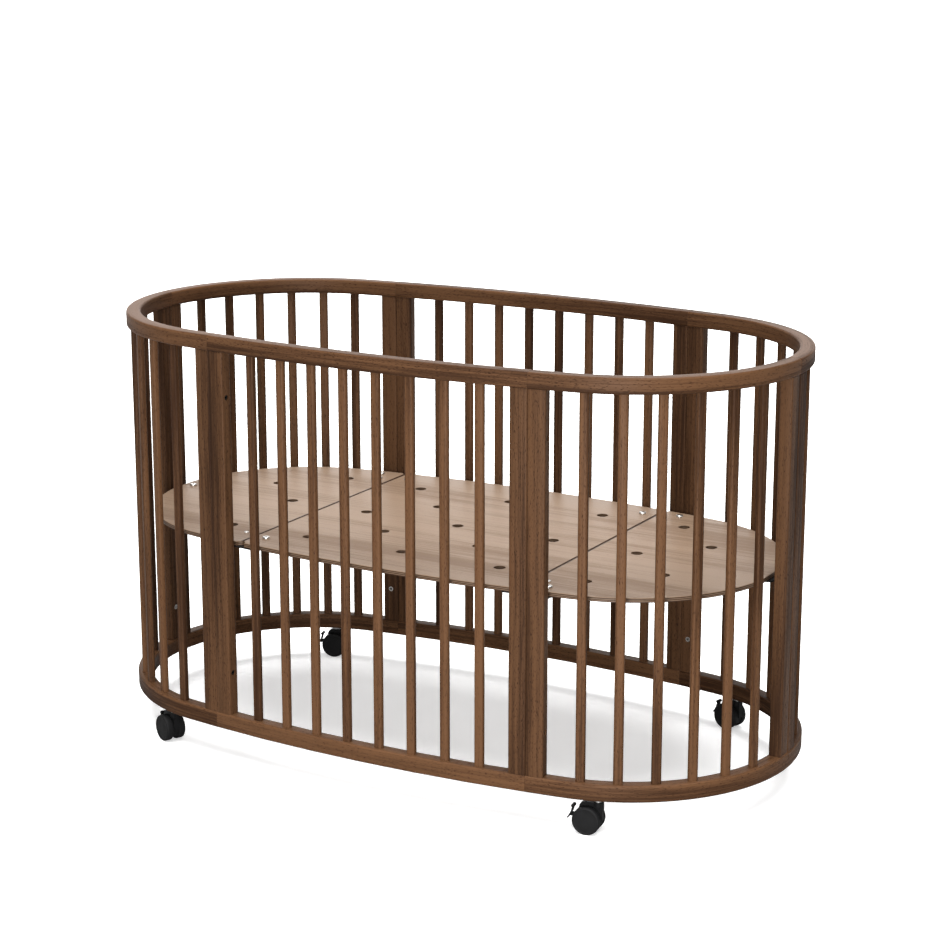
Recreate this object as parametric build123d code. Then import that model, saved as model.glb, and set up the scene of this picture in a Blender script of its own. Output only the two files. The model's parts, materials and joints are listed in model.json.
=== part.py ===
from build123d import *
import os
from math import asin, atan2, cos, degrees, radians, sin, sqrt

# Oval slatted cot: six curved beech panels bolted together at six seams, a three-board
# mattress base on steel brackets, and four braked twin-wheel casters.
# Millimetres. Origin on the floor under the middle; +X along the length, +Y back, +Z up.

# ---- Overall plan and heights ----
LENGTH = 1380.0
WIDTH = 720.0
HEIGHT = 820.0
END_ARC_R = 320.0
RAIL_W = 28.0
RAIL_ROUND = 4.0
TOP_RAIL_H = 29.0
LOW_RAIL_H = 31.0
RAIL_CLEAR = 63.5
SEAM_BEVEL = 0.8

# ---- Uprights ----
SEAM_X = 330.0
POST_W = 33.0
POST_D = 23.5
POST_ROUND = 3.0
SLAT_W = 17.5
SLAT_D = 13.0
SLAT_ROUND = 5.0
SIDE_SLATS = 8
SIDE_PITCH = 68.0
END_SLATS = 6
END_FIRST = 17.4
END_PITCH = 11.95
TENON_GAP = 0.2
SLAT_TENON = (4.4, 12.0)
POST_TENON = (6.0, 14.0)

# ---- Mattress base ----
BASE_TOP = 424.5
BOARD_T = 9.0
BASE_GAP = 29.0
TIP_FLAT = 645.5
BOARD_SEAM = 295.0
BOARD_SLIT = 2.0
NOTCH_R = 9.0
VENT_R = 11.25
VENT_PITCH = 206.0
END_VENT_X = 380.0
BOARD_EDGE = 0.8

# ---- Fixings ----
PANEL_BOLT_Z = (176.0, 705.5)
BOLT_R = 3.0
BOLT_HEAD = (5.0, 6.0)
SINK = (5.3, 8.5)
NUT_R = 4.5
NUT_LENGTH = 18.0
NUT_SET = 1.0
INSERT_Z = (163.5, 395.5)
INSERT_R = 5.0
INSERT_LENGTH = 12.0
THREAD_R = 2.5
THREAD_GAP = 0.05
BRACKET_T = 3.0
LEG_W = 22.0
LEG_FOOT = 383.0
BOSS = (5.5, 5.0)
SHANK_GAP = 0.7
BOARD_HEAD = (7.0, 3.6)
SCREW_HEAD = (4.6, 2.2)
SCREW_R = 1.8
PLATE_HEAD = (5.5, 3.3)
HEX_R = 2.3
# Fixings on a corner bracket, from the seam: (along towards the end, inwards).
END_BOLT = (16.8, 53.5)
MID_BOLT = (-52.9, 77.5)
END_SCREW = (3.8, 86.5)
TIP_BOLT = (0.0, 53.0)

# ---- Casters ----
WHEEL_R = 25.7
WHEEL_W = 14.0
WHEEL_BEVEL = 3.5
WHEEL_HOLLOW = 2.0
HOOD_W = 11.0
WHEEL_GAP = 0.5
TRAIL = 18.0
AXLE_R = 3.0
RUN_GAP = 0.05
STEM_R = 4.0
SOCKET_R = 5.4
SOCKET_L = 25.0
SOCKET_FLANGE = (8.0, 1.0)
COLLAR = (6.5, 2.5)
HOOD_TOP = 59.6
HOOD_DISC_R = 24.0
HOOD_FOOT = 11.0
BOSS_R = 8.5
BOSS_FOOT = 51.0
LEVER_W = 4.0
LEVER_PAD_W = 11.0
LEVER_PAD_TOP = 3.2
LEVER_PIVOT = (-36.5, 30.0)
LEVER_PIN_R = 1.5
# Which way each wheel pair trails from its stem, in degrees round from +X.
CASTERS = {"fr": (1, -1, 188.0), "br": (1, 1, 165.0), "bl": (-1, 1, 198.0), "fl": (-1, -1, 155.0)}

# ---- Worked out ----
HALF_L = (LENGTH - RAIL_W) / 2
HALF_W = (WIDTH - RAIL_W) / 2
END_C = HALF_L - END_ARC_R
SIDE_ARC_R = (END_C ** 2 + HALF_W ** 2 - END_ARC_R ** 2) / (2 * (HALF_W - END_ARC_R))
SIDE_C = SIDE_ARC_R - HALF_W
ARC_JOIN = degrees(atan2(SIDE_C, END_C))
LOW_TOP = RAIL_CLEAR + LOW_RAIL_H
TOP_UNDER = HEIGHT - TOP_RAIL_H
UPRIGHT_L = TOP_UNDER - LOW_TOP
BASE_UNDER = BASE_TOP - BOARD_T
PLATE_UNDER = BASE_UNDER - BRACKET_T
POST_FACE = POST_D / 2
CASTER_ANGLE = END_FIRST + END_PITCH * (END_SLATS - 1.5)
UP = (Align.CENTER, Align.CENTER, Align.MIN)


# ---- Places on the oval: local x runs anticlockwise along it, local y points inwards ----
def arc_place(x, y, r, angle):
    a = radians(angle)
    return Location((x + r * cos(a), y + r * sin(a), 0), (0, 0, angle + 90))


def side_place(x, back):
    turn = degrees(asin(x / SIDE_ARC_R))
    if back:
        return arc_place(0, -SIDE_C, SIDE_ARC_R, 90 - turn)
    return arc_place(0, SIDE_C, SIDE_ARC_R, 270 + turn)


def end_place(side, angle):
    return arc_place(side * END_C, 0, END_ARC_R, angle if side > 0 else 180 - angle)


# Seams in anticlockwise order: the place, and the local sides (-1 or 1) of the post that carries
# the inserts and of the post that takes the heads of the panel bolts.
SEAMS = [
    (side_place(-SEAM_X, False), -1, 1),
    (side_place(SEAM_X, False), 1, 1),
    (end_place(1, 0), 1, 1),
    (side_place(SEAM_X, True), -1, 1),
    (side_place(-SEAM_X, True), 1, 1),
    (end_place(-1, 0), 1, -1),
]
PANELS = ["front", "right_front", "right_back", "back", "left_back", "left_front"]


def slat_places(panel):
    if panel in ("front", "back"):
        first = -SIDE_PITCH * (SIDE_SLATS - 1) / 2
        return [side_place(first + SIDE_PITCH * i, panel == "back") for i in range(SIDE_SLATS)]
    side = 1 if panel.startswith("right") else -1
    way = 1 if panel.endswith("back") else -1
    return [end_place(side, way * (END_FIRST + END_PITCH * i)) for i in range(END_SLATS)]


def post_places(index):
    start, end = SEAMS[index][0], SEAMS[(index + 1) % len(SEAMS)][0]
    return [start * Pos(POST_W / 2, 0, 0), end * Pos(-POST_W / 2, 0, 0)]


# ---- Building blocks ----
def rod(r, z0, z1):
    return Pos(0, 0, z0) * Cylinder(r, z1 - z0, align=UP)


def cross_rod(r, x0, x1, z):
    return Pos(x0, 0, z) * Rot(0, 90, 0) * Cylinder(r, x1 - x0, align=UP)


def inward_rod(r, y0, y1, z):
    return Pos(0, y0, z) * Rot(-90, 0, 0) * Cylinder(r, y1 - y0, align=UP)


def hex_rod(r, z0, z1):
    return Pos(0, 0, z0) * extrude(RegularPolygon(r, 6), z1 - z0)


def group(solids):
    return Compound(children=[s for item in solids for s in item.solids()])


def oval(offset):
    arcs = [
        CenterArc((END_C, 0), END_ARC_R + offset, -ARC_JOIN, 2 * ARC_JOIN),
        CenterArc((0, -SIDE_C), SIDE_ARC_R + offset, ARC_JOIN, 180 - 2 * ARC_JOIN),
        CenterArc((-END_C, 0), END_ARC_R + offset, 180 - ARC_JOIN, 2 * ARC_JOIN),
        CenterArc((0, SIDE_C), SIDE_ARC_R + offset, 180 + ARC_JOIN, 180 - 2 * ARC_JOIN),
    ]
    return make_face(arcs)


# ---- Rails ----
def rail_ring(z, height):
    ring = Pos(0, 0, z) * extrude(oval(RAIL_W / 2) - oval(-RAIL_W / 2), height)
    long_edges = [e for e in ring.edges() if e.geom_type == GeomType.CIRCLE]
    return fillet(long_edges, RAIL_ROUND)


def panel_region(index):
    reach = 60.0
    start, end = SEAMS[index][0], SEAMS[(index + 1) % len(SEAMS)][0]
    points = [(place * Pos(0, y, 0)).position for place, y in
              ((start, reach), (start, -reach), (end, -reach), (end, reach))]
    if PANELS[index] not in ("front", "back"):
        x = LENGTH if "right" in PANELS[index] else -LENGTH
        y = WIDTH if "back" in PANELS[index] else -WIDTH
        points.insert(2, Vector(x, y, 0))
    return extrude(make_face(Polyline(*[(p.X, p.Y) for p in points], close=True)), HEIGHT)


def rail(ring, index, face_z, way):
    """One panel's rail. Its pockets open in the face at face_z and run into it, up for 1, down for -1."""
    piece = ring & panel_region(index)
    for place in (SEAMS[index][0], SEAMS[(index + 1) % len(SEAMS)][0]):
        seam = Plane(place.position, z_dir=(place * Pos(1, 0, 0)).position - place.position)
        ends = [f for f in piece.faces() if f.geom_type == GeomType.PLANE
                and abs(seam.to_local_coords(f.center()).Z) < 0.01 and abs(f.normal_at().Z) < 0.1]
        piece = chamfer(ends[0].edges(), SEAM_BEVEL)
    tools = [(place, SLAT_TENON) for place in slat_places(PANELS[index])]
    tools += [(place, POST_TENON) for place in post_places(index)]
    for place, (r, length) in tools:
        deep = face_z + way * (length + TENON_GAP)
        piece -= place * rod(r + TENON_GAP, min(face_z, deep), max(face_z, deep))
    return piece


def caster_place(side, way):
    return end_place(side, way * CASTER_ANGLE)


# ---- Slats and posts ----
def upright(profile, tenon):
    r, length = tenon
    bar = Pos(0, 0, LOW_TOP) * extrude(profile, UPRIGHT_L)
    return bar + rod(r, LOW_TOP - length, LOW_TOP) + rod(r, TOP_UNDER, TOP_UNDER + length)


def slat_set(panel):
    slat = upright(RectangleRounded(SLAT_W, SLAT_D, SLAT_ROUND), SLAT_TENON)
    return group([place * slat for place in slat_places(panel)])


def post_pair(index):
    post = upright(RectangleRounded(POST_W, POST_D, POST_ROUND), POST_TENON)
    start, end = SEAMS[index], SEAMS[(index + 1) % len(SEAMS)]
    posts = []
    for (seam, insert_side, head_side), side in ((start, 1), (end, -1)):
        piece = Pos(side * POST_W / 2, 0, 0) * post
        if side == head_side:
            hole = cross_rod(BOLT_R + TENON_GAP, 0, POST_W, 0)
            hole += cross_rod(SINK[0], POST_W - SINK[1], POST_W, 0)
        else:
            hole = cross_rod(NUT_R + TENON_GAP, 0, NUT_LENGTH + 2 * NUT_SET, 0)
        for z in PANEL_BOLT_Z:
            piece -= Pos(0, 0, z) * (hole if side > 0 else hole.mirror(Plane.YZ))
        if insert_side == side:
            for z in INSERT_Z:
                hole = inward_rod(INSERT_R, POST_FACE - INSERT_LENGTH, POST_FACE, z)
                piece -= Pos(side * POST_W / 2, 0, 0) * hole
        posts.append(seam * piece)
    return group(posts)


# ---- Mattress base ----
def board_holes():
    """Vent holes of the whole base, on a square and centred grid over each board."""
    half = VENT_PITCH / 2
    holes = [(x * VENT_PITCH, y * VENT_PITCH) for x in (-1, 0, 1) for y in (-1, 0, 1)]
    holes += [(x * half, y * half) for x in (-1, 1) for y in (-1, 1)]
    for side in (-1, 1):
        holes += [(side * END_VENT_X, y * VENT_PITCH) for y in (-1, 0, 1)]
        holes += [(side * (END_VENT_X + half), y * half) for y in (-1, 1)]
    return holes


def bracket_frames():
    """Each bracket's place, with its local x turned to point at its insert post, and its kind."""
    for index, (seam, side, _) in enumerate(SEAMS):
        kind = "tip" if index in (2, 5) else "corner"
        yield seam, side, kind


def fixing(seam, side, spot):
    return seam * Pos(side * spot[0], spot[1], 0)


def bolt_spots():
    for seam, side, kind in bracket_frames():
        for spot in ((END_BOLT, MID_BOLT) if kind == "corner" else (TIP_BOLT,)):
            yield fixing(seam, side, spot)


def screw_spots():
    for seam, side, kind in bracket_frames():
        if kind == "corner":
            yield fixing(seam, side, END_SCREW)


def base_board(x0, x1):
    plan = oval(-BASE_GAP) & Pos((x0 + x1) / 2, 0, 0) * Rectangle(x1 - x0, WIDTH)
    edge_y = sqrt((SIDE_ARC_R - BASE_GAP) ** 2 - BOARD_SEAM ** 2) - SIDE_C
    for x in (-BOARD_SEAM, BOARD_SEAM):
        for y in (-edge_y, edge_y):
            plan -= Pos(x, y, 0) * Circle(NOTCH_R)
    for x, y in board_holes():
        plan -= Pos(x, y, 0) * Circle(VENT_R)
    board = Pos(0, 0, BASE_UNDER) * extrude(plan, BOARD_T)
    board = chamfer(board.faces().sort_by(Axis.Z)[-1].outer_wire().edges(), BOARD_EDGE)
    for place in bolt_spots():
        board -= place * rod(THREAD_R + SHANK_GAP, BASE_UNDER, BASE_TOP)
    for place in screw_spots():
        board -= place * rod(SCREW_R + SHANK_GAP / 2, BASE_UNDER, BASE_TOP)
    return board


def bracket(seam, side, kind):
    """A plate under the boards with a leg down the inner face of the insert post."""
    leg_x = side * POST_W / 2
    if kind == "corner":
        plate = Pos(side * -17.5, 62.5, 0) * RectangleRounded(97.0, 65.0, 8.0)
        spots = (END_BOLT, MID_BOLT)
    else:
        plate = Pos(side * 6.0, 45.0, 0) * RectangleRounded(45.0, 44.0, 8.0)
        spots = (TIP_BOLT,)
    tongue = Pos(leg_x, (POST_FACE + 40.0) / 2, 0) * Rectangle(LEG_W, 40.0 - POST_FACE)
    body = Pos(0, 0, PLATE_UNDER) * extrude(plate + tongue, BRACKET_T)
    leg_h = BASE_UNDER - LEG_FOOT
    body += Pos(leg_x, POST_FACE + BRACKET_T / 2, LEG_FOOT) * Box(LEG_W, BRACKET_T, leg_h, align=UP)
    body -= Pos(leg_x, 0, 0) * inward_rod(BOLT_R, POST_FACE, POST_FACE + BRACKET_T, INSERT_Z[-1])
    for x, y in spots:
        spot = Pos(side * x, y, 0)
        body += spot * rod(BOSS[0], PLATE_UNDER - BOSS[1], PLATE_UNDER)
        body -= spot * rod(THREAD_R + THREAD_GAP, PLATE_UNDER - BOSS[1], BASE_UNDER)
    if kind == "corner":
        body -= Pos(side * END_SCREW[0], END_SCREW[1], 0) * rod(SCREW_R, PLATE_UNDER, BASE_UNDER)
    return seam * body


# ---- Fixings ----
def dome_bolt(head, shank_r, top, shank_end):
    """An upright bolt: round-shouldered head standing on the height top, with a hexagon socket."""
    r, h = head
    cap = rod(r, top, top + h)
    cap = fillet(cap.edges().sort_by(Axis.Z)[-1], h * 0.6)
    return cap + rod(shank_r, shank_end, top) - hex_rod(HEX_R, top + h * 0.35, top + h)


def bolt_levels():
    """Each panel bolt's place, with local x turned towards its head."""
    for seam, _, head_side in SEAMS:
        for z in PANEL_BOLT_Z:
            yield seam * Pos(0, 0, z) * Rot(0, 0, 0 if head_side > 0 else 180)


def panel_bolt():
    """Along local x through both posts: the head is sunk in one, and the shank reaches the nut."""
    head_x = POST_W - SINK[1]
    bolt = rod(BOLT_HEAD[0], head_x, head_x + BOLT_HEAD[1]) + rod(BOLT_R, -POST_W / 2, head_x)
    return Rot(0, 90, 0) * (bolt - hex_rod(HEX_R, head_x + 2.5, head_x + BOLT_HEAD[1]))


def sleeve_nut():
    """A threaded sleeve let into the other post's seam face, just below it."""
    nut = rod(NUT_R, -NUT_LENGTH - NUT_SET, -NUT_SET)
    return Rot(0, 90, 0) * (nut - rod(BOLT_R + RUN_GAP, -NUT_LENGTH - NUT_SET, -NUT_SET))


def insert_places():
    for seam, side, _ in SEAMS:
        for z in INSERT_Z:
            yield seam * Pos(side * POST_W / 2, 0, z)


def height_insert():
    ring = inward_rod(INSERT_R, POST_FACE - INSERT_LENGTH, POST_FACE, 0)
    return ring - inward_rod(THREAD_R, POST_FACE - INSERT_LENGTH, POST_FACE, 0)


def bracket_bolt():
    face = POST_FACE + BRACKET_T
    shank = inward_rod(THREAD_R - THREAD_GAP, POST_FACE - INSERT_LENGTH + 1.0, face, 0)
    head = inward_rod(PLATE_HEAD[0], face, face + PLATE_HEAD[1], 0)
    head = fillet(head.edges().sort_by(Axis.Y)[-1], PLATE_HEAD[1] * 0.5)
    socket = Rot(-90, 0, 0) * hex_rod(HEX_R, face + 1.2, face + PLATE_HEAD[1])
    return head + shank - socket


# ---- Casters: local x runs forward from the wheels, the stem stands on the origin ----
def axle_place():
    return Pos(-TRAIL, 0, WHEEL_R) * Rot(-90, 0, 0)


def caster_wheel(side):
    """Local z is the axle; the hub's blind bore opens at the hood."""
    inner = HOOD_W / 2 + WHEEL_GAP
    profile = Polyline((0, inner), (WHEEL_R - 1.5, inner), (WHEEL_R, inner + 1.5),
                       (WHEEL_R, inner + WHEEL_W - WHEEL_BEVEL), (WHEEL_R - WHEEL_BEVEL, inner + WHEEL_W),
                       (WHEEL_R - 6.5, inner + WHEEL_W), (WHEEL_R - 8.0, inner + WHEEL_W - WHEEL_HOLLOW / 2),
                       (0, inner + WHEEL_W - WHEEL_HOLLOW / 2), close=True)
    wheel = revolve(Plane.XZ * make_face(profile), Axis.Z)
    wheel -= rod(AXLE_R + RUN_GAP, inner, inner + 12.0)
    return axle_place() * (wheel if side > 0 else Rot(180, 0, 0) * wheel)


def axle():
    half = HOOD_W / 2 + WHEEL_GAP + 11.5
    return axle_place() * rod(AXLE_R, -half, half)


def stem():
    return rod(STEM_R, 42.0, 86.0) + rod(COLLAR[0], HOOD_TOP, HOOD_TOP + COLLAR[1])


def hood():
    """A web between the wheels with a round boss for the stem and a slot for the brake lever."""
    shoulder = Polygon((23, 0), (26, 20), (27, 33), (-5, 33), (-17, 17), (-10, 0), align=None)
    outline = Circle(HOOD_DISC_R) + shoulder
    outline -= Pos(0, HOOD_FOOT - WHEEL_R - HOOD_DISC_R) * Rectangle(4 * WHEEL_R, 2 * HOOD_DISC_R)
    web = Plane.XZ * outline
    body = Pos(-TRAIL, HOOD_W / 2, WHEEL_R) * extrude(web, HOOD_W)
    body += rod(BOSS_R, BOSS_FOOT, HOOD_TOP)
    body -= rod(STEM_R, 42.0, HOOD_TOP)
    body -= axle_place() * rod(AXLE_R, -HOOD_W, HOOD_W)
    pivot_x, pivot_z = LEVER_PIVOT
    body -= Pos(pivot_x, 0, pivot_z) * Box(18.0, LEVER_W + 0.6, 26.0)
    body -= Pos(pivot_x, 0, pivot_z) * Rot(90, 0, 0) * Cylinder(LEVER_PIN_R + RUN_GAP, HOOD_W)
    return body


def brake_lever():
    """A curved foot plate outside the wheels, on an arm that pivots in the hood's slot."""
    pivot_x, pivot_z = LEVER_PIVOT
    foot = [(-56.0, 23.0), (-49.0, 35.0), (-46.0, 46.5)]
    spine = ThreePointArc(*foot)
    plate = make_face([*offset_pair(spine, 1.3)])
    pad = extrude(Plane.XZ * plate, LEVER_PAD_W / 2, both=True)
    pad += Pos(foot[2][0], 0, foot[2][1]) * Rot(90, 0, 0) * Cylinder(LEVER_PAD_TOP, LEVER_PAD_W)
    arm = Polygon((-52.0, 28.5), (pivot_x, pivot_z - 4), (pivot_x, pivot_z + 4), (-49.6, 34.0), align=None)
    arm = extrude(Plane.XZ * (arm + Pos(pivot_x, pivot_z) * Circle(4.0)), LEVER_W / 2, both=True)
    pin = Pos(pivot_x, 0, pivot_z) * Rot(90, 0, 0) * Cylinder(LEVER_PIN_R, HOOD_W)
    return pad + arm + pin


def offset_pair(spine, half):
    """The closed outline of a strip that runs along spine, half to each side of it."""
    ends = [spine @ 0, spine @ 0.5, spine @ 1]
    normals = [(spine % t).rotate(Axis.Z, 90) for t in (0, 0.5, 1)]
    outer = [p + n * half for p, n in zip(ends, normals)]
    inner = [p - n * half for p, n in zip(ends, normals)]
    return (ThreePointArc(*outer), Line(outer[2], inner[2]),
            ThreePointArc(*reversed(inner)), Line(inner[0], outer[0]))


def caster_socket():
    sleeve = rod(SOCKET_R, RAIL_CLEAR, RAIL_CLEAR + SOCKET_L)
    sleeve += rod(SOCKET_FLANGE[0], RAIL_CLEAR - SOCKET_FLANGE[1], RAIL_CLEAR)
    return sleeve - rod(STEM_R + RUN_GAP, RAIL_CLEAR - SOCKET_FLANGE[1], RAIL_CLEAR + SOCKET_L)


# ---- All nodes ----
def save(node, shape):
    export_step(shape, f"parts/{node}.step")


def save_frame():
    top = rail_ring(TOP_UNDER, TOP_RAIL_H)
    low = rail_ring(RAIL_CLEAR, LOW_RAIL_H)
    for side in (-1, 1):
        for way in (-1, 1):
            spot = caster_place(side, way).position
            low -= Pos(spot.X, spot.Y, 0) * rod(SOCKET_R, RAIL_CLEAR, RAIL_CLEAR + SOCKET_L)
    for index, panel in enumerate(PANELS):
        save(f"top_rail_{panel}", rail(top, index, TOP_UNDER, 1))
        save(f"bottom_rail_{panel}", rail(low, index, LOW_TOP, -1))
        save(f"posts_{panel}", post_pair(index))
        save(f"slats_{panel}", slat_set(panel))


def save_base():
    inner, outer = BOARD_SEAM - BOARD_SLIT / 2, BOARD_SEAM + BOARD_SLIT / 2
    save("base_board_left", base_board(-TIP_FLAT, -outer))
    save("base_board_middle", base_board(-inner, inner))
    save("base_board_right", base_board(outer, TIP_FLAT))
    save("base_brackets", group([bracket(*frame) for frame in bracket_frames()]))


def save_fixings():
    save("panel_bolts", group([place * panel_bolt() for place in bolt_levels()]))
    save("panel_sleeve_nuts", group([place * sleeve_nut() for place in bolt_levels()]))
    save("height_inserts", group([place * height_insert() for place in insert_places()]))
    held = [place for place in insert_places() if place.position.Z > LEG_FOOT]
    save("bracket_bolts", group([place * bracket_bolt() for place in held]))
    bolt = dome_bolt(BOARD_HEAD, THREAD_R, BASE_TOP, PLATE_UNDER - BOSS[1])
    save("board_bolts", group([place * bolt for place in bolt_spots()]))
    screw = dome_bolt(SCREW_HEAD, SCREW_R - THREAD_GAP, BASE_TOP, PLATE_UNDER)
    save("board_screws", group([place * screw for place in screw_spots()]))


def save_casters():
    sockets = []
    for name, (side, way, angle) in CASTERS.items():
        spot = caster_place(side, way).position
        stand = Location((spot.X, spot.Y, 0), (0, 0, angle + 180))
        sockets.append(Pos(spot.X, spot.Y, 0) * caster_socket())
        pieces = {"stem": stem(), "hood": hood(), "axle": axle(), "brake_lever": brake_lever(),
                  "wheel_a": caster_wheel(1), "wheel_b": caster_wheel(-1)}
        for piece, shape in pieces.items():
            save(f"caster_{name}_{piece}", stand * shape)
    save("caster_sockets", group(sockets))


os.makedirs("parts", exist_ok=True)
save_frame()
save_base()
save_fixings()
save_casters()
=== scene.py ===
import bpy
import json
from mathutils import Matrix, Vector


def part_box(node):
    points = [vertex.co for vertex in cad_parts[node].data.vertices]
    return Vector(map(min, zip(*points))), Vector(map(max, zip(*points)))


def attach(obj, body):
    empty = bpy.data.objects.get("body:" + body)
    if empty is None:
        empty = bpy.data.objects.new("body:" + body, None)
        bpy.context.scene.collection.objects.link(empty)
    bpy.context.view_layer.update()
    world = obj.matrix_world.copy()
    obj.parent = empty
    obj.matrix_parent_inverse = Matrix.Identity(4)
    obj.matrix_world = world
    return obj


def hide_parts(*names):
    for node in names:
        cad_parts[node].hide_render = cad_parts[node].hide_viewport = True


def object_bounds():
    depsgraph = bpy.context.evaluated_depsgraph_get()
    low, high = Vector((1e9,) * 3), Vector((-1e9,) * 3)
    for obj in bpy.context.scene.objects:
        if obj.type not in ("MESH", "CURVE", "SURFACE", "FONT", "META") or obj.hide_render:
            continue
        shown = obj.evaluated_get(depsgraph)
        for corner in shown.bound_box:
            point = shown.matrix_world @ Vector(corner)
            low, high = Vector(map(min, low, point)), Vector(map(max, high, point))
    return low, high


bl_info = {
    "name": "Oval Slatted Crib",
    "version": (1, 0, 0),
    "blender": (4, 5, 0),
    "location": "View3D > Sidebar > Crib",
    "description": "Builds the wood, casters, fixings and studio of an oval slatted crib",
    "category": "Object",
}

import json
from math import atan2, cos, hypot, pi, radians, sin

import bmesh
import bpy
from bpy.props import FloatProperty, FloatVectorProperty, IntProperty, PointerProperty
from mathutils import Matrix, Vector

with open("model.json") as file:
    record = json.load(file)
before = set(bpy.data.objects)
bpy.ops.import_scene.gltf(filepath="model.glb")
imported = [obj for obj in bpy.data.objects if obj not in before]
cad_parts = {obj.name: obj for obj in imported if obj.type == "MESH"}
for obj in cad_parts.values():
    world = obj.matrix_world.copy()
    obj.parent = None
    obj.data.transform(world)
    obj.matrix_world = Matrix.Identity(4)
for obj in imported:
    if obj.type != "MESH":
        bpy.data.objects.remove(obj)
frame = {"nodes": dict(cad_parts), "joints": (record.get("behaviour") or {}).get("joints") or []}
NODES = frame["nodes"]
JOINTS = {j["name"]: j for j in frame["joints"]}
CAD_LOW, CAD_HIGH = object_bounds()
PANELS = ["front", "right_front", "right_back", "back", "left_back", "left_front"]
CASTERS = ["fr", "br", "bl", "fl"]
UPRIGHT_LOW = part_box("bottom_rail_front")[1].z
UPRIGHT_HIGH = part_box("top_rail_front")[0].z


# ---- Sizes and colours a user would change ----
def length(label, about, value):
    return FloatProperty(name=label, description=about, default=value, min=0.0, unit="LENGTH", precision=5)


def turn(label, about, degrees):
    return FloatProperty(name=label, description=about, default=radians(degrees), subtype="ANGLE")


def colour(label, about, value):
    return FloatVectorProperty(name=label, description=about, default=value, size=3, min=0.0, max=1.0,
                               subtype="COLOR")


class CribSizes(bpy.types.PropertyGroup):
    """Sizes of the wooden frame and the casters"""
    rail_width: length("Rail width", "Width of both rails, seen from above", 0.028)
    rail_round: length("Rail rounding", "Radius on the long edges of the rails", 0.004)
    seam_bevel: length("Seam bevel", "Chamfer where two panels meet", 0.0008)
    end_radius: length("End radius", "Radius of the rail's centreline round each end", 0.320)
    seam_x: length("Seam position", "Distance of the four side seams from the middle", 0.330)
    post_width: length("Post width", "Width of one post along the rail", 0.033)
    post_depth: length("Post depth", "Depth of a post across the rail", 0.0235)
    post_round: length("Post rounding", "Radius on the long edges of a post", 0.003)
    slat_width: length("Slat width", "Width of a slat along the rail", 0.0175)
    slat_depth: length("Slat depth", "Depth of a slat across the rail", 0.013)
    slat_round: length("Slat rounding", "Radius on the long edges of a slat", 0.005)
    side_slats: IntProperty(name="Side slats", description="Slats in each side panel", default=8, min=1)
    side_pitch: length("Side pitch", "Distance between slats in a side panel", 0.068)
    end_slats: IntProperty(name="End slats", description="Slats in each end panel", default=6, min=1)
    end_first: turn("First end slat", "Angle of the slat nearest the tip", 17.4)
    end_pitch: turn("End pitch", "Angle between slats round an end", 11.95)
    bolt_sink: length("Bolt recess radius", "Radius of the recess for a panel bolt's head", 0.0053)
    sink_depth: length("Bolt recess depth", "Depth of the recess for a panel bolt's head", 0.0085)
    insert_radius: length("Insert radius", "Radius of the hole for a threaded insert", 0.005)
    wheel_round: length("Wheel shoulder", "Rounding on a caster wheel's outer rim", 0.0035)
    hood_round: length("Hood rounding", "Rounding on the edges of a caster's hood", 0.0009)


class CribColours(bpy.types.PropertyGroup):
    """Colours of the finishes"""
    stain_light: colour("Light stain", "The frame's wood between its pores", (0.088, 0.0420, 0.0195))
    # The dark stain is also the colour of the painted shade along the mattress board seams.
    stain_dark_and_seam_shade: colour("Dark stain", "The frame's wood in its streaks", (0.026, 0.0112, 0.0050))
    board_light: colour("Light board", "The mattress boards between their streaks", (0.188, 0.127, 0.084))
    board_dark: colour("Dark board", "The mattress boards in their streaks", (0.132, 0.084, 0.053))
    plastic: colour("Caster black", "The casters' moulded plastic", (0.0035, 0.0035, 0.0036))
    tread: colour("Tread black", "The casters' tyres", (0.0050, 0.0050, 0.0051))
    steel: colour("Steel", "Plated bolts and inserts", (0.640, 0.620, 0.590))
    # On the panel bolts this dark colour is painted shade for the recesses they sit in.
    dark_steel: colour("Dark steel", "Panel bolts and bracket bolts", (0.040, 0.038, 0.036))
    bracket: colour("Bracket", "The coated brackets under the boards", (0.012, 0.0115, 0.011))
    floor: colour("Floor", "The studio floor", (0.880, 0.880, 0.880))


def sizes():
    return bpy.context.scene.crib_sizes


def colours():
    return bpy.context.scene.crib_colours


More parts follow.
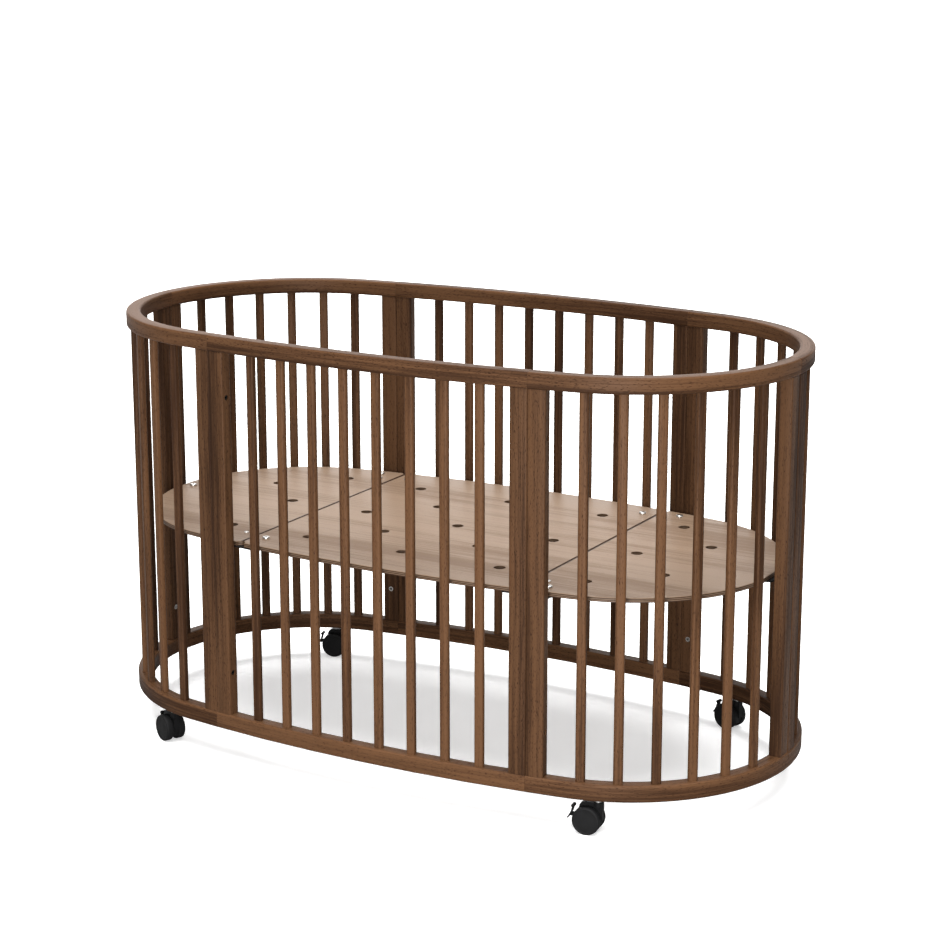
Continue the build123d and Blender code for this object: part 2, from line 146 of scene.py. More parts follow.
# ---- The oval: local x runs anticlockwise along the rail, local y points inwards ----
class Oval:
    """Four arcs, two round the ends and two along the sides, through the rail's centreline."""

    def __init__(self):
        rail, self.end_r = sizes().rail_width, sizes().end_radius
        half_l = (CAD_HIGH.x - CAD_LOW.x - rail) / 2
        half_w = (CAD_HIGH.y - CAD_LOW.y - rail) / 2
        self.end_c = half_l - self.end_r
        self.side_r = (self.end_c ** 2 + half_w ** 2 - self.end_r ** 2) / (2 * (half_w - self.end_r))
        self.side_c = self.side_r - half_w
        self.join = atan2(self.side_c, self.end_c)

    def arc(self, x, y, r, angle):
        spot = Matrix.Translation((x + r * cos(angle), y + r * sin(angle), 0))
        return spot @ Matrix.Rotation(angle + pi / 2, 4, "Z")

    def side(self, x, back):
        turned = atan2(x, (self.side_r ** 2 - x ** 2) ** 0.5)
        if back:
            return self.arc(0, -self.side_c, self.side_r, pi / 2 - turned)
        return self.arc(0, self.side_c, self.side_r, -pi / 2 + turned)

    def end(self, side, angle):
        return self.arc(side * self.end_c, 0, self.end_r, angle if side > 0 else pi - angle)

    def along(self, point, panel):
        """Grain coordinates of a point on a rail: distance along it, offset from its centreline, height."""
        x, y = abs(point.x), abs(point.y)
        if panel in ("front", "back"):
            return (self.side_r * atan2(point.x, y + self.side_c),
                    hypot(x, y + self.side_c) - self.side_r, point.z)
        angle = atan2(y, x - self.end_c)
        if angle < self.join:
            return self.end_r * angle, hypot(x - self.end_c, y) - self.end_r, point.z
        past = (pi / 2 - self.join) - atan2(x, y + self.side_c)
        return (self.end_r * self.join + self.side_r * past,
                hypot(x, y + self.side_c) - self.side_r, point.z)


def seams():
    """The six seams anticlockwise: place, and the sides (-1 or 1) of the insert post and the head post."""
    oval, x = Oval(), sizes().seam_x
    return [(oval.side(-x, False), -1, 1), (oval.side(x, False), 1, 1), (oval.end(1, 0), 1, 1),
            (oval.side(x, True), -1, 1), (oval.side(-x, True), 1, 1), (oval.end(-1, 0), 1, -1)]


def slat_places(panel):
    oval, s = Oval(), sizes()
    if panel in ("front", "back"):
        first = -s.side_pitch * (s.side_slats - 1) / 2
        return [oval.side(first + s.side_pitch * i, panel == "back") for i in range(s.side_slats)]
    side = 1 if panel.startswith("right") else -1
    way = 1 if panel.endswith("back") else -1
    return [oval.end(side, way * (s.end_first + s.end_pitch * i)) for i in range(s.end_slats)]


# ---- Modelling helpers ----
ALIGNED = 0.9
WELD = 0.00001


def deselect():
    if bpy.context.mode != "OBJECT":
        bpy.ops.object.mode_set(mode="OBJECT")
    bpy.ops.object.select_all(action="DESELECT")


def focus(piece):
    deselect()
    piece.select_set(True)
    bpy.context.view_layer.objects.active = piece


def apply_place(piece):
    focus(piece)
    bpy.ops.object.transform_apply(location=True, rotation=True, scale=True)


def block(low, high):
    """A cube stretched between two corners."""
    low, high = Vector(low), Vector(high)
    deselect()
    bpy.ops.mesh.primitive_cube_add(size=1, location=(low + high) / 2, scale=high - low)
    piece = bpy.context.object
    apply_place(piece)
    return piece


def drum(radius, start, end, sides=64):
    """A cylinder between two points."""
    start, end = Vector(start), Vector(end)
    lie = (end - start).to_track_quat("Z", "Y").to_euler()
    deselect()
    bpy.ops.mesh.primitive_cylinder_add(vertices=sides, radius=radius, depth=(end - start).length,
                                        location=(start + end) / 2, rotation=lie)
    piece = bpy.context.object
    apply_place(piece)
    return piece


def select_where(piece, kind, test):
    """In edit mode, selects only the edges or faces that pass the test."""
    focus(piece)
    bpy.ops.object.mode_set(mode="EDIT")
    bpy.ops.mesh.select_mode(type=kind)
    bpy.ops.mesh.select_all(action="DESELECT")
    mesh = bmesh.from_edit_mesh(piece.data)
    for item in mesh.edges if kind == "EDGE" else mesh.faces:
        if test(item):
            item.select_set(True)
    mesh.select_flush_mode()
    bmesh.update_edit_mesh(piece.data)


def rounded(piece, test, radius, segments):
    """Rounds the edges that pass the test."""
    select_where(piece, "EDGE", test)
    bpy.ops.mesh.bevel(offset=radius, segments=segments, affect="EDGES")
    bpy.ops.object.mode_set(mode="OBJECT")


def rounded_section(width, height, radius, segments):
    """A flat outline with round corners, which a spin then sweeps."""
    deselect()
    bpy.ops.mesh.primitive_plane_add(size=1)
    piece = bpy.context.object
    piece.scale = (width, height, 1)
    apply_place(piece)
    bpy.ops.object.mode_set(mode="EDIT")
    bpy.ops.mesh.select_all(action="SELECT")
    bpy.ops.mesh.bevel(offset=radius, segments=segments, affect="VERTICES")
    bpy.ops.object.mode_set(mode="OBJECT")
    return piece


def upright_edge(edge):
    run = edge.verts[1].co - edge.verts[0].co
    return abs(run.z) > ALIGNED * run.length


def modify(piece, kind, **values):
    focus(piece)
    modifier = piece.modifiers.new(kind.title(), kind)
    for name, value in values.items():
        setattr(modifier, name, value)
    bpy.ops.object.modifier_apply(modifier=modifier.name)


def combine(piece, tool, operation):
    """Adds a tool to a piece or cuts it away, and uses the tool up."""
    modify(piece, "BOOLEAN", object=tool, operation=operation, solver="EXACT")
    focus(tool)
    bpy.ops.object.delete()


def soften(piece, width, segments=2, angle=30):
    modify(piece, "BEVEL", width=width, segments=segments, limit_method="ANGLE", angle_limit=radians(angle))


def tidy_mesh(piece, smooth_angle=30):
    focus(piece)
    bpy.ops.object.mode_set(mode="EDIT")
    bpy.ops.mesh.select_all(action="SELECT")
    bpy.ops.mesh.remove_doubles(threshold=WELD)
    bpy.ops.mesh.normals_make_consistent(inside=False)
    bpy.ops.object.mode_set(mode="OBJECT")
    bpy.ops.object.shade_smooth_by_angle(angle=radians(smooth_angle))


def copy_at(piece, place, name):
    """A copy with its own mesh, whose place is in the mesh."""
    focus(piece)
    bpy.ops.object.duplicate(linked=False)
    made = bpy.context.object
    made.matrix_world = place
    apply_place(made)
    made.name = made.data.name = name
    return made


def discard(*pieces):
    for piece in pieces:
        focus(piece)
        bpy.ops.object.delete()


def finish_piece(piece, material, body, node):
    piece.data.materials.clear()
    piece.data.materials.append(material)
    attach(piece, body)
    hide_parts(node)


def paint(node, material):
    """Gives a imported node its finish."""
    mesh = NODES[node].data
    mesh.materials.clear()
    mesh.materials.append(material)


# ---- Node helpers and shared groups ----
# Noise scales per metre, along the grain and then across it both ways.
WARP = (2.2, 9.0, 9.0)
STREAK = (3.5, 170.0, 170.0)
FINE = (14.0, 900.0, 900.0)
BROAD_TONE = (1.1, 13.0, 13.0)
FLECK = (150.0, 950.0, 950.0)
RUBBED = (0.010, 0.010, 0.0105, 1.0)
SPARKED = (0.028, 0.028, 0.028, 1.0)


class Nodes:
    """A node tree with short calls for adding and linking its nodes."""

    def __init__(self, tree):
        self.tree = tree

    def add(self, kind, **values):
        node = self.tree.nodes.new(kind)
        for name, value in values.items():
            setattr(node, name, value)
        return node

    def feed(self, socket, value):
        if isinstance(value, bpy.types.NodeSocket):
            self.tree.links.new(value, socket)
        else:
            socket.default_value = value

    def math(self, operation, a, b=0.0):
        node = self.add("ShaderNodeMath", operation=operation)
        self.feed(node.inputs[0], a)
        self.feed(node.inputs[1], b)
        return node.outputs[0]

    def stretch(self, vector, scale):
        node = self.add("ShaderNodeMapping")
        self.feed(node.inputs["Vector"], vector)
        node.inputs["Scale"].default_value = scale
        return node.outputs[0]

    def noise(self, vector, scale, detail=2.0, roughness=0.5):
        node = self.add("ShaderNodeTexNoise")
        self.feed(node.inputs["Vector"], vector)
        node.inputs["Scale"].default_value = scale
        node.inputs["Detail"].default_value = detail
        node.inputs["Roughness"].default_value = roughness
        return node.outputs[0]

    def span(self, value, low, high, to_low=0.0, to_high=1.0):
        node = self.add("ShaderNodeMapRange", interpolation_type="SMOOTHSTEP")
        self.feed(node.inputs["Value"], value)
        for name, level in (("From Min", low), ("From Max", high), ("To Min", to_low), ("To Max", to_high)):
            self.feed(node.inputs[name], level)
        return node.outputs[0]

    def mix(self, amount, a, b, blend="MIX"):
        node = self.add("ShaderNodeMix", data_type="RGBA", blend_type=blend)
        self.feed(node.inputs[0], amount)
        self.feed(node.inputs[6], a)
        self.feed(node.inputs[7], b)
        return node.outputs[2]


def group_tree(name, inputs, outputs):
    """A shader node group with these sockets: (name, type, default) going in, (name, type) coming out."""
    tree = bpy.data.node_groups.new(name, "ShaderNodeTree")
    for label, kind, default in inputs:
        socket = tree.interface.new_socket(label, in_out="INPUT", socket_type=kind)
        if default is not None:
            socket.default_value = default
    for label, kind in outputs:
        tree.interface.new_socket(label, in_out="OUTPUT", socket_type=kind)
    nodes = Nodes(tree)
    return nodes, nodes.add("NodeGroupInput").outputs, nodes.add("NodeGroupOutput").inputs


def grain_group():
    """Stained beech: long streaks, broad tone, fine pores and short dark ray flecks. X is along the grain."""
    colour_in, number = "NodeSocketColor", "NodeSocketFloat"
    n, given, out = group_tree(
        "Stained Grain",
        [("Vector", "NodeSocketVector", None), ("Light", colour_in, None), ("Dark", colour_in, None),
         ("Streaks", number, 0.6), ("Flecks", number, 0.5), ("Tone", number, 0.3)],
        [("Color", colour_in), ("Roughness", number), ("Height", number)])
    vector = given["Vector"]
    warp = n.noise(n.stretch(vector, WARP), 1.0, 2.0)
    sway = n.add("ShaderNodeCombineXYZ")
    n.feed(sway.inputs[1], n.math("MULTIPLY", warp, 0.012))
    n.feed(sway.inputs[2], n.math("MULTIPLY", warp, 0.008))
    bent = n.add("ShaderNodeVectorMath", operation="ADD")
    n.feed(bent.inputs[0], vector)
    n.feed(bent.inputs[1], sway.outputs[0])
    line = bent.outputs[0]
    streak = n.span(n.noise(n.stretch(line, STREAK), 1.0, 4.0, 0.62), 0.34, 0.68)
    fine = n.span(n.noise(n.stretch(line, FINE), 1.0, 2.0, 0.6), 0.30, 0.72)
    tone = n.span(n.noise(n.stretch(vector, BROAD_TONE), 1.0, 1.0), 0.30, 0.70)
    fleck = n.span(n.noise(n.stretch(vector, FLECK), 1.0, 0.0), 0.64, 0.72)
    dark = n.math("MULTIPLY", n.math("SUBTRACT", 1.0, streak), given["Streaks"])
    dark = n.math("ADD", dark, n.math("MULTIPLY", n.math("SUBTRACT", 1.0, fine), 0.22))
    dark = n.math("ADD", dark, n.math("MULTIPLY", n.math("SUBTRACT", 0.5, tone), given["Tone"]))
    dark = n.math("ADD", dark, n.math("MULTIPLY", fleck, given["Flecks"]))
    dark_clamped = n.span(dark, 0.0, 1.0)
    n.feed(out["Color"], n.mix(dark_clamped, given["Light"], given["Dark"]))
    n.feed(out["Roughness"], n.span(dark_clamped, 0.0, 1.0, 0.44, 0.58))
    height = n.math("ADD", n.math("MULTIPLY", fine, 0.7), n.math("MULTIPLY", fleck, -0.6))
    n.feed(out["Height"], height)
    return n.tree


def moulded_group():
    """Moulded plastic or coated metal: a fine spark-eroded grain with broad, faint rubbing."""
    number = "NodeSocketFloat"
    n, given, out = group_tree(
        "Fine Texture",
        [("Vector", "NodeSocketVector", None), ("Base", "NodeSocketColor", None), ("Scale", number, 1.0),
         ("Rough", number, 0.5)],
        [("Color", "NodeSocketColor"), ("Roughness", number), ("Height", number)])
    scaled = n.add("ShaderNodeVectorMath", operation="SCALE")
    n.feed(scaled.inputs[0], given["Vector"])
    n.feed(scaled.inputs["Scale"], given["Scale"])
    spark = n.noise(scaled.outputs[0], 1800.0, 2.0, 0.6)
    rub = n.span(n.noise(scaled.outputs[0], 60.0, 3.0, 0.6), 0.35, 0.75)
    lift = n.mix(n.math("MULTIPLY", rub, 0.35), given["Base"], RUBBED)
    n.feed(out["Color"], n.mix(n.math("MULTIPLY", spark, 0.10), lift, SPARKED))
    n.feed(out["Roughness"], n.math("ADD", given["Rough"], n.math("MULTIPLY", rub, -0.10)))
    n.feed(out["Height"], spark)
    return n.tree


def shared_group(name, build):
    return bpy.data.node_groups.get(name) or build()


def new_material(name):
    material = bpy.data.materials.new(name)
    material.use_nodes = True
    nodes = Nodes(material.node_tree)
    return material, nodes, material.node_tree.nodes["Principled BSDF"]


def place_group(nodes, tree, vector, **values):
    node = nodes.add("ShaderNodeGroup", node_tree=tree)
    nodes.feed(node.inputs["Vector"], vector)
    for name, value in values.items():
        nodes.feed(node.inputs[name], value)
    return node


def bump(nodes, shader, height, strength, distance):
    node = nodes.add("ShaderNodeBump")
    nodes.feed(node.inputs["Height"], height)
    node.inputs["Strength"].default_value = strength
    node.inputs["Distance"].default_value = distance
    nodes.feed(shader.inputs["Normal"], node.outputs[0])


def solid(value):
    return (*value, 1.0)


def scaled(value, factor):
    return tuple(factor * channel for channel in value)


def turned_vector(nodes, order):
    """Object coordinates with their axes reordered, so that the first one runs along the grain."""
    parts = nodes.add("ShaderNodeSeparateXYZ")
    nodes.feed(parts.inputs[0], nodes.add("ShaderNodeTexCoord").outputs["Object"])
    joined = nodes.add("ShaderNodeCombineXYZ")
    for index, axis in enumerate(order):
        nodes.feed(joined.inputs[index], parts.outputs["XYZ".index(axis)])
    return joined.outputs[0]


# ---- Materials ----
# Gloss values are specular levels.
WOOD_GLOSS = 0.06
BOARD_GLOSS = 0.20
PLASTIC_GLOSS = 0.08
POST_DARKENING = 0.82
# Half width of the band of painted shade along each seam between the mattress boards.
SEAM_SHADE_WIDTH = 0.004
PLY_PITCH = 0.003
DULL_STEEL = 0.62


def wood_material(name, vector_from, depth=1.0):
    """Satin walnut stain over beech. vector_from gives the grain coordinates; a low depth is darker."""
    if name in bpy.data.materials:
        return bpy.data.materials[name]
    material, n, shader = new_material(name)
    grain = place_group(n, shared_group("Stained Grain", grain_group), vector_from(n),
                        Light=solid(scaled(colours().stain_light, depth)),
                        Dark=solid(scaled(colours().stain_dark_and_seam_shade, depth)),
                        Flecks=0.50, Streaks=0.50, Tone=0.75)
    n.feed(shader.inputs["Base Color"], grain.outputs["Color"])
    n.feed(shader.inputs["Roughness"], grain.outputs["Roughness"])
    shader.inputs["Specular IOR Level"].default_value = WOOD_GLOSS
    bump(n, shader, grain.outputs["Height"], 0.25, 0.0004)
    return material


def upright_wood():
    return wood_material("Stained Beech Upright", lambda n: turned_vector(n, "ZXY"))


def post_wood():
    """The posts use the slats' stain colours scaled down, so they come out darker than the slats."""
    return wood_material("Stained Beech Post", lambda n: turned_vector(n, "ZXY"), POST_DARKENING)


def rail_wood():
    def along(n):
        return n.add("ShaderNodeAttribute", attribute_name="along").outputs["Vector"]
    return wood_material("Stained Beech Rail", along)


def board_wood():
    """The faces are one veneer, darkened with painted shade along the seams where the boards meet; the edges
    show the plies.
    """
    if "Stained Plywood" in bpy.data.materials:
        return bpy.data.materials["Stained Plywood"]
    material, n, shader = new_material("Stained Plywood")
    vector = turned_vector(n, "XYZ")
    grain = place_group(n, shared_group("Stained Grain", grain_group), vector,
                        Light=solid(colours().board_light), Dark=solid(colours().board_dark),
                        Flecks=0.25, Streaks=0.45, Tone=0.9)
    facing = n.add("ShaderNodeSeparateXYZ")
    n.feed(facing.inputs[0], n.add("ShaderNodeNewGeometry").outputs["True Normal"])
    edge = n.span(n.math("ABSOLUTE", facing.outputs[2]), 0.35, 0.15)
    place = n.add("ShaderNodeSeparateXYZ")
    n.feed(place.inputs[0], vector)
    ply = n.math("SINE", n.math("MULTIPLY", place.outputs[2], 2 * pi / PLY_PITCH))
    stripe = n.mix(n.span(ply, -0.3, 0.3), solid(colours().stain_dark_and_seam_shade), solid(colours().board_dark))
    # Painted shade: the boards darken towards each seam, standing in for the shade in the gap between them.
    from_seam = n.math("SUBTRACT", n.math("ABSOLUTE", place.outputs[0]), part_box("base_board_right")[0][0])
    painted_seam_shade = n.span(n.math("ABSOLUTE", from_seam), SEAM_SHADE_WIDTH, 0.6 * SEAM_SHADE_WIDTH)
    face = n.mix(painted_seam_shade, grain.outputs["Color"], solid(colours().stain_dark_and_seam_shade))
    n.feed(shader.inputs["Base Color"], n.mix(edge, face, stripe))
    n.feed(shader.inputs["Roughness"], grain.outputs["Roughness"])
    shader.inputs["Specular IOR Level"].default_value = BOARD_GLOSS
    bump(n, shader, grain.outputs["Height"], 0.18, 0.0003)
    return material


def plastic_material(name, base, scale, rough, strength):
    if name in bpy.data.materials:
        return bpy.data.materials[name]
    material, n, shader = new_material(name)
    vector = n.add("ShaderNodeTexCoord").outputs["Object"]
    texture = place_group(n, shared_group("Fine Texture", moulded_group), vector,
                          Base=solid(base), Scale=scale, Rough=rough)
    n.feed(shader.inputs["Base Color"], texture.outputs["Color"])
    n.feed(shader.inputs["Roughness"], texture.outputs["Roughness"])
    shader.inputs["Specular IOR Level"].default_value = PLASTIC_GLOSS
    bump(n, shader, texture.outputs["Height"], strength, 0.0002)
    return material


def hood_plastic():
    return plastic_material("Moulded Black Nylon", colours().plastic, 1.0, 0.48, 0.25)


def tread_plastic():
    return plastic_material("Black Tyre", colours().tread, 0.7, 0.62, 0.15)


def bracket_coating():
    return plastic_material("Dark Bracket Coating", colours().bracket, 0.8, 0.45, 0.3)


def steel_material(name, base, rough):
    """Plated steel with fine turning marks round its height and a cloudy plating."""
    if name in bpy.data.materials:
        return bpy.data.materials[name]
    material, n, shader = new_material(name)
    vector = n.add("ShaderNodeTexCoord").outputs["Object"]
    cloud = n.span(n.noise(vector, 400.0, 3.0, 0.6), 0.3, 0.7)
    marks = n.noise(n.stretch(vector, (300.0, 300.0, 6000.0)), 1.0, 1.0)
    dull = solid(scaled(base, DULL_STEEL))
    n.feed(shader.inputs["Base Color"], n.mix(n.math("MULTIPLY", cloud, 0.4), solid(base), dull))
    shader.inputs["Metallic"].default_value = 1.0
    n.feed(shader.inputs["Roughness"], n.math("ADD", rough, n.math("MULTIPLY", cloud, 0.12)))
    bump(n, shader, marks, 0.12, 0.0001)
    return material


def bright_steel():
    return steel_material("Bright Plated Steel", colours().steel, 0.24)


# Dark steel; on the panel bolts its darkness is painted shade for their recesses.
def dark_steel():
    return steel_material("Dark Plated Steel", colours().dark_steel, 0.36)


# ---- Frame pieces ----
# RAIL_STEP is in degrees. The two shifts give each rail its own stretch of the grain.
RAIL_STEP = 2.2
PANEL_SHIFT = 1.7
LEVEL_SHIFT = 11.0
INSERT_HOLE_DEPTH = 0.012
CUT_MARGIN = 0.005
# Points of one mesh further apart in height than these belong to different bolts or inserts.
BOLT_SPREAD = 0.05
INSERT_SPREAD = 0.03


def bar(width, depth, radius, segments):
    """A straight upright between the rails, centred on the origin in plan."""
    piece = block((-width / 2, -depth / 2, UPRIGHT_LOW), (width / 2, depth / 2, UPRIGHT_HIGH))
    rounded(piece, upright_edge, radius, segments)
    tidy_mesh(piece)
    return piece


def rail_run(panel):
    """The arcs of one panel's rail from its first seam: (centre, angle turned)."""
    oval, s = Oval(), sizes()
    seam = atan2(s.seam_x, (oval.side_r ** 2 - s.seam_x ** 2) ** 0.5)
    bend = (pi / 2 - oval.join) - seam
    side = 1 if "right" in panel else -1
    way = 1 if "back" in panel else -1
    side_arc = ((0, -way * oval.side_c, 0), abs(bend))
    end_arc = ((side * oval.end_c, 0, 0), oval.join)
    if panel in ("front", "back"):
        return [((0, -way * oval.side_c, 0), 2 * seam)]
    return [side_arc, end_arc] if side * way < 0 else [end_arc, side_arc]


def rail(panel, index, low, high):
    """A rounded section spun round the arcs of its panel, with a small bevel at each seam."""
    s, oval = sizes(), Oval()
    piece = rounded_section(s.rail_width, high - low, s.rail_round, 6)
    stand_up = Matrix(((0, 0, 1, 0), (1, 0, 0, 0), (0, 1, 0, (low + high) / 2), (0, 0, 0, 1)))
    piece.matrix_world = seams()[index][0] @ stand_up
    apply_place(piece)
    bpy.ops.object.mode_set(mode="EDIT")
    bpy.ops.mesh.select_all(action="SELECT")
    for centre, angle in rail_run(panel):
        steps = max(4, round(angle / radians(RAIL_STEP)))
        bpy.ops.mesh.spin(steps=steps, angle=-angle, center=centre, axis=(0, 0, 1))
    bpy.ops.object.mode_set(mode="OBJECT")
    tidy_mesh(piece)
    cap_edges = {e.key for f in piece.data.polygons if len(f.vertices) > 4 for e in
                 [piece.data.edges[piece.data.loops[i].edge_index] for i in f.loop_indices]}
    rounded(piece, lambda e: tuple(sorted(v.index for v in e.verts)) in cap_edges, s.seam_bevel, 2)
    tidy_mesh(piece)
    along = piece.data.attributes.new("along", "FLOAT_VECTOR", "POINT")
    shift = PANEL_SHIFT * index + LEVEL_SHIFT * high
    for vertex, value in zip(piece.data.vertices, along.data):
        run, offset, height = oval.along(vertex.co, panel)
        value.vector = (run + shift, offset + shift, height)
    return piece


class CRIB_OT_rails(bpy.types.Operator):
    """Spin the top and bottom rail of each panel round the oval"""
    bl_idname = "crib.rails"
    bl_label = "Rails"

    def execute(self, context):
        for index, panel in enumerate(PANELS):
            for level in ("top", "bottom"):
                node = f"{level}_rail_{panel}"
                low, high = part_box(node)
                piece = rail(panel, index, low.z, high.z)
                piece.name = piece.data.name = f"rail_{level}_{panel}"
                finish_piece(piece, rail_wood(), "crib", node)
        return {"FINISHED"}


class CRIB_OT_slats(bpy.types.Operator):
    """Stand the slats of every panel between the rails"""
    bl_idname = "crib.slats"
    bl_label = "Slats"

    def execute(self, context):
        s = sizes()
        slat = bar(s.slat_width, s.slat_depth, s.slat_round, 6)
        for panel in PANELS:
            for number, place in enumerate(slat_places(panel), 1):
                piece = copy_at(slat, place, f"slat_{panel}_{number}")
                finish_piece(piece, upright_wood(), "crib", f"slats_{panel}")
        discard(slat)
        return {"FINISHED"}


def bolt_heights():
    """Heights of the panel bolts and of the inserts, read from the fixings' own meshes."""
    def levels(node, spread):
        found = []
        for vertex in sorted(NODES[node].data.vertices, key=lambda v: v.co.z):
            if not found or vertex.co.z - found[-1][-1] > spread:
                found.append([])
            found[-1].append(vertex.co.z)
        return [(level[0] + level[-1]) / 2 for level in found]
    return levels("panel_bolts", BOLT_SPREAD), levels("height_inserts", INSERT_SPREAD)


def seam_post(side, inserts, heads):
    """One post of a pair, in the seam's own axes, with its insert holes or its bolt heads' recesses."""
    s = sizes()
    post = bar(s.post_width, s.post_depth, s.post_round, 4)
    post.location.x = side * s.post_width / 2
    apply_place(post)
    bolts, levels = bolt_heights()
    far, face = side * s.post_width, s.post_depth / 2
    for z in bolts if heads else ():
        recess = drum(s.bolt_sink, (far + side * CUT_MARGIN, 0, z), (far - side * s.sink_depth, 0, z))
        combine(post, recess, "DIFFERENCE")
    for z in levels if inserts else ():
        hole = drum(s.insert_radius, (far / 2, face + CUT_MARGIN, z),
                    (far / 2, face - INSERT_HOLE_DEPTH, z))
        combine(post, hole, "DIFFERENCE")
    tidy_mesh(post)
    return post


class CRIB_OT_posts(bpy.types.Operator):
    """Stand a pair of bolted posts at each seam"""
    bl_idname = "crib.posts"
    bl_label = "Posts"

    def execute(self, context):
        made = {}
        for index, (seam, insert_side, head_side) in enumerate(seams()):
            for side in (-1, 1):
                panel = PANELS[index if side > 0 else index - 1]
                name = f"post_{panel}_{'first' if side > 0 else 'last'}"
                key = (side, side == insert_side, side == head_side)
                if key not in made:
                    made[key] = seam_post(*key)
                piece = copy_at(made[key], seam, name)
                finish_piece(piece, post_wood(), "crib", f"posts_{panel}")
        discard(*made.values())
        return {"FINISHED"}


class CRIB_OT_base(bpy.types.Operator):
    """Finish the three boards of the mattress base and the brackets under them"""
    bl_idname = "crib.base"
    bl_label = "Mattress base"

    def execute(self, context):
        for board in ("left", "middle", "right"):
            paint(f"base_board_{board}", board_wood())
        paint("base_brackets", bracket_coating())
        return {"FINISHED"}


class CRIB_OT_fixings(bpy.types.Operator):
    """Plate the bolts, nuts, inserts, screws and caster sockets"""
    bl_idname = "crib.fixings"
    bl_label = "Fixings"

    def execute(self, context):
        for node in ("panel_sleeve_nuts", "height_inserts", "board_bolts", "board_screws", "caster_sockets"):
            paint(node, bright_steel())
        # The panel bolts are darkened as painted shade for their recesses; the bracket bolts share the
        # colour.
        for node in ("panel_bolts", "bracket_bolts"):
            paint(node, dark_steel())
        for caster in CASTERS:
            paint(f"caster_{caster}_stem", bright_steel())
            paint(f"caster_{caster}_axle", bright_steel())
        return {"FINISHED"}


# ---- Casters: x runs forwards from the stem, y across, z up from the floor ----
HOOD_WIDTH = 0.011
HOOD_RADIUS = 0.024
HOOD_LOW = 0.011
SHOULDER_BACK = 0.0165
SHOULDER_FRONT = 0.0268
SHOULDER_TOP = 0.033
SHOULDER_BACK_ROUND = 0.0125
SHOULDER_FRONT_ROUND = 0.003
BOSS_RADIUS = 0.0085
BOSS_LOW = 0.051
SLOT = Vector((0.009, 0.0023, 0.013))
WHEEL_GAP = 0.0005
WHEEL_WIDTH = 0.014
WHEEL_INNER_ROUND = 0.0014
# Each step insets a wheel's face and then moves it in (negative) or out.
COVER_STEPS = ((0.0006, 0.0), (0.0006, -0.0007), (0.0008, 0.0), (0.012, 0.0003))
WEB_STEPS = ((0.0022, 0.0), (0.0006, -0.005), (0.013, 0.0), (0.0006, 0.0044))
FOOT_ARC = ((-0.0560, 0.0230), (-0.0490, 0.0350), (-0.0460, 0.0465))
FOOT_THICKNESS = 0.0026
FOOT_WIDTH = 0.011
FOOT_ROUND = 0.0009
ROLL_RADIUS = 0.0032
ARM_BACK = -0.0515
ARM_HALF_WIDTH = 0.002
ARM_HALF_HEIGHT = 0.0035
ARM_EYE_RADIUS = 0.004
PIN_RADIUS = 0.0015


class Caster:
    """Where one caster stands, from its joints: stem, wheel centre, pivot and forward direction."""

    def __init__(self, name):
        self.name = name
        swivel = Vector(JOINTS[f"{name}_swivel"]["pos_m"])
        wheel = Vector(JOINTS[f"{name}_wheel_a_spin"]["pos_m"])
        pivot = Vector(JOINTS[f"{name}_brake_press"]["pos_m"])
        ahead = (swivel - wheel) * Vector((1, 1, 0))
        self.trail = ahead.length
        self.wheel_z = wheel.z
        facing = Matrix.Rotation(atan2(ahead.y, ahead.x), 4, "Z")
        self.place = Matrix.Translation((swivel.x, swivel.y, 0)) @ facing
        self.pivot = self.place.inverted() @ pivot
        low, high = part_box(f"caster_{name}_wheel_a")
        self.radius = (high.z - low.z) / 2


def flat_to(axis, sign):
    """A test for faces that look along an axis."""
    return lambda face: face.normal[axis] * sign > ALIGNED and len(face.verts) > 6


def edge_at(axis, place):
    """A test for edges that lie in a plane across an axis."""
    return lambda edge: all(abs(vertex.co[axis] - place) < WELD for vertex in edge.verts)


def wheel(caster, side):
    """A disc with a round shoulder, a stepped cover outside and a hollow web inside."""
    inner = side * (HOOD_WIDTH / 2 + WHEEL_GAP)
    outer = inner + side * WHEEL_WIDTH
    centre = (-caster.trail, caster.wheel_z)
    piece = drum(caster.radius, (centre[0], inner, centre[1]), (centre[0], outer, centre[1]), 96)
    rounded(piece, edge_at(1, outer), sizes().wheel_round, 6)
    rounded(piece, edge_at(1, inner), WHEEL_INNER_ROUND, 3)
    for way, steps in ((side, COVER_STEPS), (-side, WEB_STEPS)):
        select_where(piece, "FACE", flat_to(1, way))
        for inset, depth in steps:
            bpy.ops.mesh.inset(thickness=inset, depth=depth)
        bpy.ops.object.mode_set(mode="OBJECT")
    soften(piece, 0.00025)
    tidy_mesh(piece, 25)
    return piece


